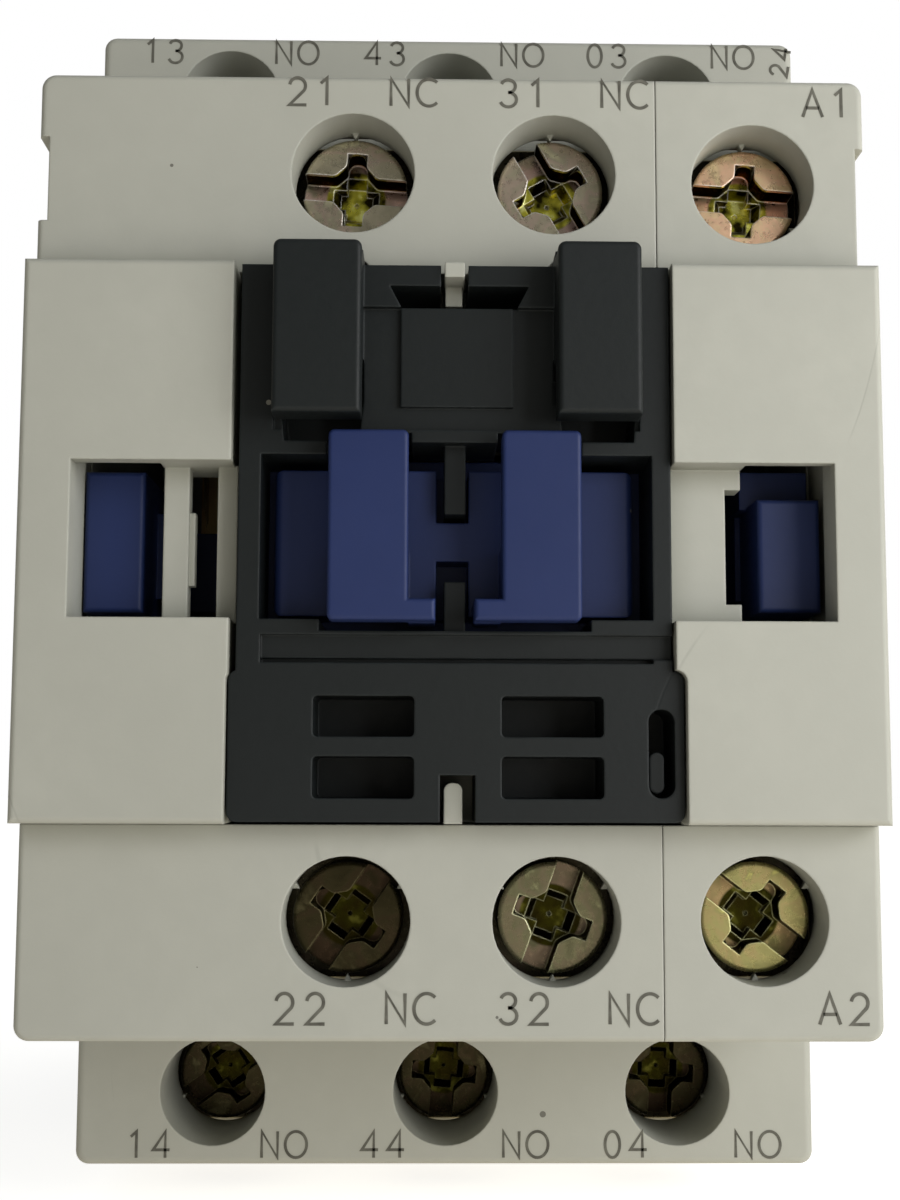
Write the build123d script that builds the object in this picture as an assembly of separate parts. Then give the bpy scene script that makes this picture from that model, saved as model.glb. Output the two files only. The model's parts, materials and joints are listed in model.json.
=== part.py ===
from build123d import *
import math
import os

# Industrial control relay, 45 mm wide, with three make and two break contacts.
# X runs to the right, Z up, and the front faces -Y. The back plane is Y = 0 and
# the origin lies on it, at the centre of the mounting rail. Sizes are in millimetres.

# Overall sizes
WIDTH = 45.0
HALF = WIDTH / 2
FLANGE_Z = 38.5             # half height of the flange at the back
BACK_TIER_Z = 35.75         # half height of the base and of the tier with the make terminals
MIDDLE_TIER_Z = 25.87       # half height of the tier with the break and coil terminals
FRONT_TIER_Z = 14.7         # half height of the front cover

# Depths, from the back plane forwards
BASE_FRONT = -36.0
BACK_TIER_FACE = -62.8
MIDDLE_TIER_FACE = -79.4
FRONT_FACE = -82.0
COVER_BACK = -74.2
HOOK_FACE = -84.0
WALL = 1.8
SEAM = 0.08                 # gap left between two mouldings
CAP_SEAM = 0.04             # tighter gap beside a coil terminal cap

# Mounting rail, 35 mm wide and 7.5 mm high
RAIL_HALF = 17.6
RAIL_DEPTH = 7.6
LIP_BACK = -6.3
LIP_REACH = 2.0

# Motion
TRAVEL = 4.5                # stroke of the armature and carrier
CONTACT_GAP = 2.7           # opening of a contact
OVERTRAVEL = TRAVEL - CONTACT_GAP
FOOT_TRAVEL = 4.0

# Inner chambers
CHAMBER_X = 20.2
MAGNET_Z = 21.5
CONTACT_Z = 24.0
BREAK_Z = 13.5
FLOOR = (-49.4, -47.7)      # wall between the magnet and the make contacts

# Terminal screws
HEAD_R = 2.95
HEAD_T = 2.9
HEAD_ROUND = 0.22
SLOT_W = 1.5                # driver slot across the head
SLOT_DEPTH = 1.8
CROSS_W = 1.1               # cross of the driver recess
CROSS_L = 4.2
CROSS_DEPTH = 2.6
CENTRE_W = 2.7              # tapering square in the middle of the recess
CENTRE_DEPTH = 2.8
CENTRE_TAPER = 24
LOBE_R = 0.42              # rounding of the corners between slot, cross and square
SHANK_R = 1.7
SHANK_L = 8.2
WASHER_T = 1.0
WASHER_HALF = (3.6, 3.5)
STRIP_T = 1.2
BACK_HOLE_R = 3.2           # access holes of the back tier
MIDDLE_HOLE_R = 3.35        # access holes of the middle tier
BACK_HEAD_FACE = -55.9
MIDDLE_HEAD_FACE = -76.7
LIFT_ROOM = 2.2             # a clamp's travel below its access hole
ENTRY_ROOM = 0.8            # height of a wire entry above the washer
PLATE_GAP = 0.02            # gap between a washer and its strip

MAKE_STRIP_FACE = BACK_HEAD_FACE + HEAD_T + WASHER_T + PLATE_GAP
MAKE_STRIP_SEAT = MAKE_STRIP_FACE + STRIP_T + PLATE_GAP
BREAK_STRIP_BACK = MIDDLE_HEAD_FACE + HEAD_T + WASHER_T + PLATE_GAP + STRIP_T

MAKE_X = (-14.2, 0.0, 14.2)
BREAK_X = (-5.45, 5.5)
COIL_X = 16.35
MAKE_Z = (31.6, -31.4)
BREAK_TERM_Z = (20.4, -19.75)
COIL_TERM_Z = (19.95, -19.7)
SEAM_X = 11.04              # where a coil terminal cap meets the terminal housing

NIBS = (90, 210, 330)
TURNED_NIBS = (30, 150, 270)

# name: (x, z, face of the screw head, turn of the driver recess in degrees)
TERMINALS = {
    "13": (MAKE_X[0], MAKE_Z[0], BACK_HEAD_FACE, 20),
    "43": (MAKE_X[1], MAKE_Z[0], BACK_HEAD_FACE, -35),
    "03": (MAKE_X[2], MAKE_Z[0], BACK_HEAD_FACE, 65),
    "14": (MAKE_X[0], MAKE_Z[1], BACK_HEAD_FACE, 35),
    "44": (MAKE_X[1], MAKE_Z[1], BACK_HEAD_FACE, 85),
    "04": (MAKE_X[2], MAKE_Z[1], BACK_HEAD_FACE, 87),
    "21": (BREAK_X[0], BREAK_TERM_Z[0], MIDDLE_HEAD_FACE, -4),
    "31": (BREAK_X[1], BREAK_TERM_Z[0], MIDDLE_HEAD_FACE, -60),
    "22": (BREAK_X[0], BREAK_TERM_Z[1], MIDDLE_HEAD_FACE, 55),
    "32": (BREAK_X[1], BREAK_TERM_Z[1], MIDDLE_HEAD_FACE, 70),
    "a1": (COIL_X, COIL_TERM_Z[0], MIDDLE_HEAD_FACE, -4),
    "a2": (COIL_X, COIL_TERM_Z[1], MIDDLE_HEAD_FACE, -38),
}


# ---------------------------------------------------------------- helpers

def block(x, y, z):
    """A box between two values on each axis."""
    centre = Pos(sum(x) / 2, sum(y) / 2, sum(z) / 2)
    return centre * Box(abs(x[1] - x[0]), abs(y[1] - y[0]), abs(z[1] - z[0]))


def forward(profile, y):
    """A profile drawn in X and Z, extruded between two depths."""
    return extrude(Plane.XZ.offset(-max(y)) * profile, amount=abs(y[1] - y[0]), dir=(0, -1, 0))


def round_block(x, y, z, radius):
    """A box whose four edges along Y are rounded."""
    outline = RectangleRounded(abs(x[1] - x[0]), abs(z[1] - z[0]), radius)
    return forward(Pos(sum(x) / 2, sum(z) / 2) * outline, y)


def rod(x, z, y, radius):
    """A cylinder along Y."""
    return forward(Pos(x, z) * Circle(radius), y)


def both_ways(shape):
    """A shape and its mirror image below the middle."""
    return shape + mirror(shape, about=Plane.XY)


def spring(x, z, y, radius, wire, turns):
    """A coil spring along Y."""
    height = abs(y[1] - y[0]) - wire
    path = Helix(pitch=height / turns, height=height, radius=radius)
    section = Plane(origin=path @ 0, z_dir=path % 0) * Circle(wire / 2)
    coil = sweep(section, path=path, is_frenet=True)
    return Pos(x, max(y) - wire / 2, z) * Rot(90, 0, 0) * coil


def soften(part, radius, test):
    """Round the edges whose centre passes the test."""
    edges = [edge for edge in part.edges() if test(edge.center())]
    return fillet(edges, radius)


# ---------------------------------------------------------------- terminals

def nibs(name, hole_r, angles):
    """Small nibs at the inner end of an access hole, which keep the screw from falling out."""
    x, z, face, _ = TERMINALS[name]
    half_base = 0.28
    front = face + HEAD_T - LIFT_ROOM
    shape = None
    for angle in angles:
        tip = Polygon((HEAD_R + 0.04, 0), (hole_r + 0.15, half_base), (hole_r + 0.15, -half_base),
                      align=None)
        nib = forward(Pos(x, z) * Rot(0, 0, angle) * tip, (front - 0.6, front))
        shape = nib if shape is None else shape + nib
    return shape


def terminal_room(name, hole_r, tier_face, tier_z):
    """The space of one terminal: access hole, clamp pocket, screw bore and wire entry."""
    x, z, head_face, _ = TERMINALS[name]
    side = 1 if z > 0 else -1
    seat = head_face + HEAD_T
    back = seat + WASHER_T + STRIP_T + 0.1
    access = rod(x, z, (tier_face - 1, seat), hole_r)
    front = seat - LIFT_ROOM
    pocket = block((x - 3.9, x + 3.9), (front, back), (z - 3.8, z + 3.8))
    bore = rod(x, z, (seat, seat + SHANK_L + 0.7), SHANK_R + 0.4)
    entry_front = seat - ENTRY_ROOM
    entry = block((x - 2.9, x + 2.9), (entry_front, back), (z, side * (tier_z + 1)))
    mouth_z = (side * (tier_z - 0.9), side * (tier_z + 1))
    mouth = block((x - 3.3, x + 3.3), (entry_front - 0.4, back + 0.4), mouth_z)
    return access + pocket + bore + entry + mouth


def driver_recess():
    """The recess of a screw head: a slot, a cross and a tapering square, cut from Y = 0 inwards."""
    above = 0.2
    face = Plane(origin=(0, -above, 0), x_dir=(1, 0, 0), z_dir=(0, 1, 0))
    square = Rot(0, 0, 45) * Rectangle(CENTRE_W, CENTRE_W)
    cross = RectangleRounded(CROSS_W, CROSS_L, 0.45 * CROSS_W)
    outline = Rectangle(2 * HEAD_R + 1, SLOT_W) + cross + square
    recess = extrude(face * outline, amount=SLOT_DEPTH + above)
    middle = SLOT_DEPTH / 2 - above / 2
    lobe_reach = 0.7 * CENTRE_W
    recess = soften(recess, LOBE_R, lambda c: abs(c.Y - middle) < 0.1 and math.hypot(c.X, c.Z) < lobe_reach)
    recess += extrude(face * square, amount=CENTRE_DEPTH + above, taper=CENTRE_TAPER)
    foot = CROSS_L / 2 - 0.45 * CROSS_DEPTH
    for turn in (0, 90):
        profile = Polygon((-CROSS_L / 2, 0), (CROSS_L / 2, 0), (foot, CROSS_DEPTH), (-foot, CROSS_DEPTH),
                          align=None)
        recess += Rot(0, turn, 0) * extrude(profile, amount=CROSS_W / 2, both=True)
    return recess


def terminal_screw(name):
    """A pan head screw with a slot and a cross in its head."""
    x, z, face, angle = TERMINALS[name]
    head = rod(x, z, (face, face + HEAD_T), HEAD_R)
    head = soften(head, HEAD_ROUND, lambda c: c.Y < face + 0.1)
    end = face + HEAD_T + SHANK_L
    shank = rod(x, z, (face + HEAD_T, end), SHANK_R)
    shank = chamfer([e for e in shank.edges() if e.center().Y > end - 0.1], 0.5)
    return head + shank - Pos(x, face, z) * Rot(0, -angle, 0) * driver_recess()


def clamp_washer(name):
    """The square clamping washer under a screw head, with its two turned-down edges."""
    x, z, face, _ = TERMINALS[name]
    half_x, half_z = WASHER_HALF
    back = face + HEAD_T + WASHER_T
    plate = round_block((x - half_x, x + half_x), (face + HEAD_T, back), (z - half_z, z + half_z), 0.6)
    groove = block((x - half_x + 0.8, x + half_x - 0.8), (back - 0.25, back), (z - half_z, z + half_z))
    return plate - groove - rod(x, z, (face, back + 1), SHANK_R + 0.05)


# ---------------------------------------------------------------- housings

def base_housing():
    """The moulded back half, with the magnet chamber and the rail channel."""
    outer = round_block((-HALF, HALF), (BASE_FRONT, 0), (-BACK_TIER_Z, BACK_TIER_Z), 0.8)
    flange = round_block((-HALF, HALF), (-9.0, 0), (-FLANGE_Z, FLANGE_Z), 1.5)
    body = outer + flange
    magnet_room = block((-CHAMBER_X, CHAMBER_X), (-9.4, BASE_FRONT - 1), (-MAGNET_Z, MAGNET_Z))
    body -= magnet_room
    end_room = block((-CHAMBER_X, CHAMBER_X), (-11.0, BASE_FRONT - 1),
                     (MAGNET_Z + WALL, BACK_TIER_Z - WALL))
    body -= both_ways(end_room)
    # Rail channel: the flange of the rail sits in the deep part, behind the fixed lip
    body -= block((-HALF - 1, HALF + 1), (-RAIL_DEPTH, LIP_BACK), (-RAIL_HALF, RAIL_HALF))
    body -= block((-HALF - 1, HALF + 1), (LIP_BACK, 1), (-RAIL_HALF, RAIL_HALF - LIP_REACH))
    # T-shaped guide of the rail foot, open at the bottom
    body -= block((-9.2, 9.2), (-6.35, -4.0), (-FLANGE_Z - 1, -RAIL_HALF))
    body -= block((-7.2, 7.2), (-4.0, 1), (-FLANGE_Z - 1, -RAIL_HALF))
    body += block((-1.2, 1.2), (-6.5, -4.5), (-31.2, -30.2))
    # Hollows of the moulding in the back plane, beside the guide of the foot
    for x0, x1 in ((-20.0, -15.6), (-14.4, -10.6)):
        hollow = block((x0, x1), (-7.0, 1), (21.5, 34.5))
        hollow = hollow + mirror(hollow, about=Plane.YZ)
        body -= both_ways(hollow)
    # Cooling grooves in the upper and lower faces, and a sunk panel on each side
    for x in (-15.0, -9.0, -3.0, 3.0, 9.0, 15.0):
        body -= both_ways(block((x - 1.1, x + 1.1), (-30.0, -15.0), (BACK_TIER_Z - 1.0, BACK_TIER_Z + 1)))
    for side in (-1, 1):
        for z0 in (5.5, 11.0, 16.5):
            groove = block((side * (HALF - 0.7), side * (HALF + 1)), (-32.0, -13.0), (z0, z0 + 2.2))
            body -= both_ways(groove)
    # Ribs that centre the fixed core
    rib = block((17.15, CHAMBER_X + 0.1), (-28.0, -9.3), (-3, 3))
    body += rib + mirror(rib, about=Plane.YZ)
    # Snap tongues into the contact housing
    for side in (-1, 1):
        body += both_ways(block((side * 21.3, side * HALF), (BASE_FRONT - 5, BASE_FRONT + 0.5), (22, 27)))
    return body


def contact_housing():
    """The light grey middle housing, with the six make terminals on its front."""
    y = (BACK_TIER_FACE, BASE_FRONT - SEAM)
    body = round_block((-HALF, HALF), y, (-BACK_TIER_Z, BACK_TIER_Z), 0.8)
    body = soften(body, 0.5, lambda c: abs(c.Y - BACK_TIER_FACE) < 0.01 and abs(c.Z) > BACK_TIER_Z - 1)
    body -= block((-CHAMBER_X, CHAMBER_X), (FLOOR[1], 0), (-MAGNET_Z, MAGNET_Z))
    end_room = block((-CHAMBER_X, CHAMBER_X), (-43.0, 0), (MAGNET_Z + WALL, BACK_TIER_Z - WALL))
    body -= both_ways(end_room)
    body -= block((-CHAMBER_X, CHAMBER_X), (BACK_TIER_FACE - 1, FLOOR[0]), (-CONTACT_Z, CONTACT_Z))
    # Slot for the carrier and slots for the coil strips through the floor
    body -= block((-18.7, 18.7), (FLOOR[0] - 1, FLOOR[1] + 1), (-3.0, 3.0))
    body -= both_ways(block((18.5, CHAMBER_X), (FLOOR[0] - 1, FLOOR[1] + 1), (17.2, 20.9)))
    # Barriers between the poles, and the seats of the fixed contact strips
    for x in (-7.1, 7.1):
        body += both_ways(block((x - 0.6, x + 0.6), (BACK_TIER_FACE + 0.1, FLOOR[0] + 0.1),
                                (4.0, CONTACT_Z + 0.1)))
    for x in MAKE_X:
        body += both_ways(block((x - 2.4, x + 2.4), (MAKE_STRIP_SEAT, FLOOR[0] + 0.1),
                                (10.0, CONTACT_Z + 0.1)))
    for name in ("13", "43", "03", "14", "44", "04"):
        tx, tz, _, _ = TERMINALS[name]
        side = 1 if tz > 0 else -1
        body -= terminal_room(name, BACK_HOLE_R, BACK_TIER_FACE, BACK_TIER_Z)
        body -= block((tx - 2.3, tx + 2.3), (MAKE_STRIP_FACE - 0.1, MAKE_STRIP_SEAT),
                      (side * (CONTACT_Z - 1), tz))
        body += nibs(name, BACK_HOLE_R, NIBS)
    # Recesses for the snap tongues of the base and of the terminal housing, and a sunk side panel
    for side in (-1, 1):
        body -= block((side * (HALF - 0.45), side * (HALF + 1)), (-59.5, -43.5), (-5.2, 5.2))
        body -= both_ways(block((side * 21.2, side * (HALF + 1)), (BASE_FRONT - 5.1, 0), (21.9, 27.1)))
        body -= both_ways(block((side * 21.2, side * (HALF + 1)),
                                (BACK_TIER_FACE - 1, BACK_TIER_FACE + 5.1), (7.9, 12.1)))
    return body


def terminal_housing():
    """The front housing, with the break terminals in its two raised ends."""
    y = (MIDDLE_TIER_FACE, BACK_TIER_FACE - SEAM)
    body = block((-HALF, HALF), y, (-MIDDLE_TIER_Z, MIDDLE_TIER_Z))
    body = soften(body, 0.8, lambda c: abs(c.X) > HALF - 0.1 and abs(c.Z) > MIDDLE_TIER_Z - 0.1)
    body = soften(body, 0.35, lambda c: abs(c.Y - MIDDLE_TIER_FACE) < 0.01)
    # Bay of the front cover, and the bays of the coil terminal caps
    body -= block((-HALF - 1, HALF + 1), (MIDDLE_TIER_FACE - 1, COVER_BACK),
                  (-FRONT_TIER_Z - SEAM, FRONT_TIER_Z + SEAM))
    cap_bay = block((SEAM_X, HALF + 1), (MIDDLE_TIER_FACE - 1, BACK_TIER_FACE - 1.5),
                    (FRONT_TIER_Z, MIDDLE_TIER_Z + 1))
    body -= both_ways(cap_bay)
    body -= block((-CHAMBER_X, CHAMBER_X), (MIDDLE_TIER_FACE, 0), (-BREAK_Z, BREAK_Z))
    for name in ("21", "31", "22", "32"):
        tx, tz, _, _ = TERMINALS[name]
        side = 1 if tz > 0 else -1
        body -= terminal_room(name, MIDDLE_HOLE_R, MIDDLE_TIER_FACE, MIDDLE_TIER_Z)
        body -= block((tx - 2.3, tx + 2.3), (BREAK_STRIP_BACK - STRIP_T - 0.1, BREAK_STRIP_BACK + 0.08),
                      (side * (BREAK_Z - 1), tz))
        body += nibs(name, MIDDLE_HOLE_R, NIBS if tz > 0 else TURNED_NIBS)
    # Clearance of the add-on hooks in the inner edge of the upper end
    for x0, x1 in ((-9.65, -4.45), (5.05, 9.95)):
        body -= round_block((x0, x1), (MIDDLE_TIER_FACE - 1, -76.5), (13.0, 15.55), 0.7)
    # Shallow finger recess on the left side, and passages for the coil strips
    body -= block((-HALF - 1, -HALF + 0.55), (MIDDLE_TIER_FACE - 1, -74.0), (17.6, 22.3))
    body -= both_ways(block((18.5, CHAMBER_X), (BACK_TIER_FACE - 3, 0), (17.2, 20.9)))
    for side in (-1, 1):
        tongue_y = (BACK_TIER_FACE - 0.5, BACK_TIER_FACE + 5)
        body += both_ways(block((side * 21.3, side * HALF), tongue_y, (8, 12)))
    return body


def coil_terminal_cap(name):
    """A corner of the middle tier, with one coil terminal."""
    _, z, face, _ = TERMINALS[name]
    y = (MIDDLE_TIER_FACE, BACK_TIER_FACE - 1.5 - SEAM)
    side = 1 if z > 0 else -1
    span = (side * (FRONT_TIER_Z + SEAM), side * MIDDLE_TIER_Z)
    body = block((SEAM_X + CAP_SEAM, HALF), y, span)
    body = soften(body, 0.8, lambda c: c.X > HALF - 0.1 and abs(c.Z) > MIDDLE_TIER_Z - 0.1)
    outer = lambda c: c.X > SEAM_X + 1 and abs(c.Z) > FRONT_TIER_Z + 1
    body = soften(body, 0.35, lambda c: abs(c.Y - MIDDLE_TIER_FACE) < 0.01 and outer(c))
    body -= terminal_room(name, MIDDLE_HOLE_R, MIDDLE_TIER_FACE, MIDDLE_TIER_Z)
    body += nibs(name, MIDDLE_HOLE_R, NIBS if z > 0 else TURNED_NIBS)
    body -= block((18.5, CHAMBER_X), (face + HEAD_T + WASHER_T + 0.1, 0), (side * 17.2, side * 20.9))
    if z > 0:
        body -= block((HALF - 0.5, HALF + 1), (MIDDLE_TIER_FACE - 1, -74.0), (15.4, 22.0))
    return body


def front_cover():
    """The grey front tier: two cheeks with a window each, joined behind the insert."""
    z = (-FRONT_TIER_Z, FRONT_TIER_Z)
    y = (FRONT_FACE, COVER_BACK - SEAM)
    body = block((-HALF, HALF), y, z)
    body = soften(body, 0.35, lambda c: abs(c.Y - FRONT_FACE) < 0.01)
    plate_face = -76.2
    # Opening of the insert, wider at its lower panel
    body -= block((-11.5, 11.5), (FRONT_FACE - 1, plate_face), (-FRONT_TIER_Z - 1, FRONT_TIER_Z + 1))
    body -= round_block((-11.6, 12.05), (FRONT_FACE - 1, plate_face), (-FRONT_TIER_Z - 2, -6.8), 0.6)
    # Room of the carrier's front, and the hollow backs of the cheeks
    room = (-5.6, 5.8)
    body -= block((-20.3, 20.3), (plate_face - 0.6, 0), room)
    for side in (-1, 1):
        body -= both_ways(block((side * 13.2, side * 20.8), (-80.3, 0), (6.9, FRONT_TIER_Z - 1.3)))
    # Windows of the two cheeks, with thin lips in front of the room behind them
    body -= block((-19.77, -11.0), (FRONT_FACE - 1, plate_face), (-4.2, 4.0))
    body -= block((11.2, 19.85), (FRONT_FACE - 1, plate_face), (-4.27, 4.0))
    for x0, x1, lip_z, lip_x in ((-19.77, -15.3, -80.9, -78.1), (15.35, 19.85, -81.2, -79.4)):
        body -= block((x0, x1), (lip_z, plate_face), room)
        body -= block((x0 - 0.5, x1) if x0 < 0 else (x0, x1 + 0.45), (lip_x, plate_face), room)
    # Thin ribs in the left window
    body += block((-15.25, -13.93), (-79.7, -78.5), (-4.3, 4.1))
    body += block((-12.4, -11.35), (-79.8, plate_face - 0.6), (-4.3, 4.1))
    body += block((-14.0, -13.62), (-79.4, -78.6), (-2.3, 1.6))
    # Stepped panel in the right window
    panel = block((11.55, 15.3), (-79.9, -78.2), (-4.35, 4.15))
    panel -= block((14.47, 15.4), (-81.0, -76.0), (-3.2, 2.93))
    body += panel
    # Tabs that hold the insert at its top and bottom edge
    body += block((-0.4, 0.5), (-79.8, plate_face), (12.85, FRONT_TIER_Z))
    body += block((-0.45, 0.6), (FRONT_FACE + 0.3, plate_face), (13.9, FRONT_TIER_Z))
    lower_tab = round_block((-0.4, 0.55), (-80.6, plate_face), (-FRONT_TIER_Z - 1, -12.6), 0.4)
    lower_tab -= block((-1, 1), (-82, 0), (-FRONT_TIER_Z, -FRONT_TIER_Z - 2))
    return body + lower_tab


def front_insert():
    """The black insert around the carrier's window, with the two add-on hooks."""
    face = -81.4
    back = -76.3
    body = block((-11.15, 11.38), (face, back), (-6.9, 14.6))
    body += round_block((-11.5, 11.95), (face, back), (-14.6, -6.85), 0.5)
    # Window of the carrier, a little taller in the middle, and its two guide posts
    body -= block((-10.0, 10.4), (face - 1, back + 1), (-4.2, 4.45))
    body -= block((-6.2, 6.4), (face - 1, back + 1), (4.0, 5.1))
    for x0, x1 in ((-6.6, -2.15), (2.35, 6.75)):
        body -= block((x0, x1), (face - 1, back + 1), (4.0, 5.6))
    body -= block((-6.9, 7.2), (face - 1, back + 1), (-4.8, 0))
    post_y = (face + 0.9, -77.4)
    body += block((-0.42, 0.68), post_y, (1.45, 5.3))
    body += block((-0.42, 0.68), post_y, (-4.9, -2.15))
    # Sunk field between the rims, its raised centre panel and the deep hollow above it
    field = face + 0.4
    body -= block((-9.4, 9.8), (face - 1, field), (5.75, 12.35))
    body += block((-2.75, 3.15), (field - 0.3, field), (7.0, 12.3))
    trapezoid = Polygon((-3.35, 13.5), (4.0, 13.5), (3.4, 12.35), (-2.75, 12.35), align=None)
    body -= forward(trapezoid, (face - 1, back - 0.9))
    # Hooks: a root behind the upper half and a plate that overhangs downwards
    for x0, x1 in ((-9.3, -4.75), (5.35, 9.65)):
        mouth = Polygon((x0 + 0.2, 7.3), (x1 + 0.05, 7.3), (x1 - 0.18, 5.15), (x0 + 0.48, 5.15), align=None)
        body -= forward(mouth, (face - 1, back - 0.9))
        body -= block((x0 - 0.05, x1 + 0.05), (face - 1, back - 0.9), (7.2, 9.6))
        body += block((x0, x1), (-82.2, back), (9.4, 14.4))
        plate = block((x0, x1), (HOOK_FACE, -82.0), (6.15, 15.2))
        plate = soften(plate, 0.4, lambda c: c.Z > 15.1 and min(abs(c.X - x0), abs(c.X - x1)) < 0.01)
        plate = soften(plate, 0.25, lambda c: abs(c.Y - HOOK_FACE) < 0.01)
        body += plate
        body += block((x0, x1), (-82.1, -77.2), (12.0, 15.2))
    # Band below the window and the groove under it
    body -= block((-9.9, 11.5), (face - 1, face + 0.35), (-6.25, -5.0))
    body -= block((-9.9, 10.4), (face - 1, face + 0.8), (-6.45, -6.2))
    # Four pockets of the lower panel
    for x0, x1 in ((-7.15, -1.95), (2.55, 7.8)):
        for z0, z1 in ((-10.25, -8.15), (-13.4, -11.25)):
            body -= round_block((x0, x1), (face - 1, back - 0.9), (z0, z1), 0.25)
    body -= round_block((10.1, 11.45), (face - 1, back - 1.2), (-13.35, -8.8), 0.65)
    body += round_block((10.2, 10.95), (face + 0.5, back), (-13.1, -11.0), 0.37)
    # Notches for the tabs of the cover
    body -= block((-0.65, 0.8), (face - 1, back + 1), (12.55, 16))
    body -= block((-0.62, 1.2), (face - 1, back + 1), (-16, -12.2))
    return body


# ---------------------------------------------------------------- magnet and coil

def fixed_core():
    """The E-shaped laminated core, with the slots of the shading rings."""
    z = (-6, 6)
    body = block((-17, 17), (-17.5, -11), z)
    body += block((-4.5, 4.5), (-30.9, -17.4), z)
    for side in (-1, 1):
        body += block((side * 12, side * 17), (-31, -17.4), z)
        body -= block((side * 12.95, side * 14.15), (-32, -29.75), (-7, 7))
    return body


def shading_rings():
    """A copper ring around the outer half of each outer pole."""
    rings = []
    for side in (-1, 1):
        outer = block((side * 13.0, side * 18.1), (-30.9, -29.8), (-7.1, 7.1))
        rings.append(outer - block((side * 14.1, side * 17.05), (-32, -29), (-6.05, 6.05)))
    return Compound(rings)


def core_pad():
    """The rubber pad under the core."""
    return block((-15, 15), (-10.98, -9.42), (-5.5, 5.5))


def bobbin_tube(margin):
    """The outline of the winding tube, grown by a margin."""
    return Rectangle(10.8 + 2 * margin, 14.0 + 2 * margin)


def coil_bobbin():
    """The bobbin, with lugs for the coil's terminal strips."""
    body = forward(bobbin_tube(0), (-30.6, -18.0))
    body += round_block((-11.6, 11.6), (-19.2, -18.0), (-14.5, 14.5), 2.5)
    body += round_block((-11.6, 11.6), (-30.6, -29.4), (-15.5, 15.5), 2.5)
    body += both_ways(block((8.0, 16.5), (-30.6, -29.4), (13.0, 20.5)))
    body -= block((-4.7, 4.7), (-32, -17), (-6.2, 6.2))
    return body


def coil_winding():
    """The copper winding with its tape."""
    y = (-29.35, -19.25)
    return round_block((-11.2, 11.2), y, (-13.6, 13.6), 4.0) - forward(bobbin_tube(0.03), y)


def coil_terminal(name):
    """The strip from a coil terminal back to the bobbin."""
    x, z, face, _ = TERMINALS[name]
    side = 1 if z > 0 else -1
    front = face + HEAD_T + WASHER_T + PLATE_GAP
    plate = block((x - 3.4, 19.7), (front, front + STRIP_T), (z - 3.4, z + 3.4))
    plate -= rod(x, z, (front - 1, front + 3), SHANK_R + 0.05)
    tail_z = (side * 17.5, side * 20.5)
    tail = block((18.9, 19.7), (front + 0.2, -30.62), tail_z)
    foot = block((12.0, 19.7), (-31.42, -30.62), tail_z)
    return plate + tail + foot


def armature():
    """The moving half of the magnet, with a hole for its pin."""
    z = (-6, 6)
    body = block((-17, 17), (-44, -38.5), z)
    body += block((-4.5, 4.5), (-38.6, -35.65), z)
    for side in (-1, 1):
        body += block((side * 12, side * 17), (-38.6, -35.55), z)
    pin_hole = Pos(0, -41.2, 0) * Cylinder(1.53, 20)
    return body - pin_hole


def armature_pin():
    """The pin that ties the armature to the carrier."""
    return Pos(0, -41.2, 0) * Cylinder(1.5, 15.6)


def return_springs():
    """The two springs that push the carrier forwards."""
    y = (-44.18, -30.62)
    return Compound([spring(0, z, y, 2.4, 0.6, 5) for z in (-11.6, 11.6)])


# ---------------------------------------------------------------- contacts

BRIDGE_W = 4.2
BRIDGE_T = 0.8
TIP_R = 1.8
TIP_T = 0.9
MAKE_TIP_Z = 9.8
BREAK_TIP_Z = 7.3
MAKE_BRIDGE_BACK = MAKE_STRIP_FACE - 2 * TIP_T - CONTACT_GAP      # back face of an open make bridge
BREAK_BRIDGE_FACE = BREAK_STRIP_BACK + 2 * TIP_T + 0.03           # front face of a closed break bridge
SLAB_Z = 2.4
WINDOW_HALF = 2.6
MAKE_WINDOW = (-63.6, MAKE_BRIDGE_BACK + 0.03)
BREAK_WINDOW = (BREAK_BRIDGE_FACE - OVERTRAVEL - 0.05, -64.6)


def make_strips(side):
    """The fixed strips of the make contacts at the top (1) or bottom (-1)."""
    strips = []
    z = MAKE_Z[0] if side > 0 else MAKE_Z[1]
    y = (MAKE_STRIP_FACE, MAKE_STRIP_FACE + STRIP_T)
    for x in MAKE_X:
        plate = block((x - 3.4, x + 3.4), y, (z - 3.4, z + 3.4))
        leg = block((x - 2.2, x + 2.2), y, (side * 7.6, z))
        strips.append(plate + leg - rod(x, z, (y[0] - 1, y[1] + 1), SHANK_R + 0.05))
    return Compound(strips)


def break_strips(side):
    """The fixed strips of the break contacts at the top (1) or bottom (-1)."""
    strips = []
    z = BREAK_TERM_Z[0] if side > 0 else BREAK_TERM_Z[1]
    y = (BREAK_STRIP_BACK - STRIP_T, BREAK_STRIP_BACK)
    for x in BREAK_X:
        plate = block((x - 3.4, x + 3.4), y, (z - 3.4, z + 3.4))
        leg = block((x - 2.2, x + 2.2), y, (side * 5.45, z))
        strips.append(plate + leg - rod(x, z, (y[0] - 1, y[1] + 1), SHANK_R + 0.05))
    return Compound(strips)


def tips(places, y, reach):
    """Round silver tips between two depths, one at each end of a bridge."""
    return Compound([rod(x, side * reach, y, TIP_R) for x in places for side in (-1, 1)])


def make_fixed_tips():
    return tips(MAKE_X, (MAKE_STRIP_FACE - TIP_T, MAKE_STRIP_FACE), MAKE_TIP_Z)


def break_fixed_tips():
    return tips(BREAK_X, (BREAK_STRIP_BACK, BREAK_STRIP_BACK + TIP_T), BREAK_TIP_Z)


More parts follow.
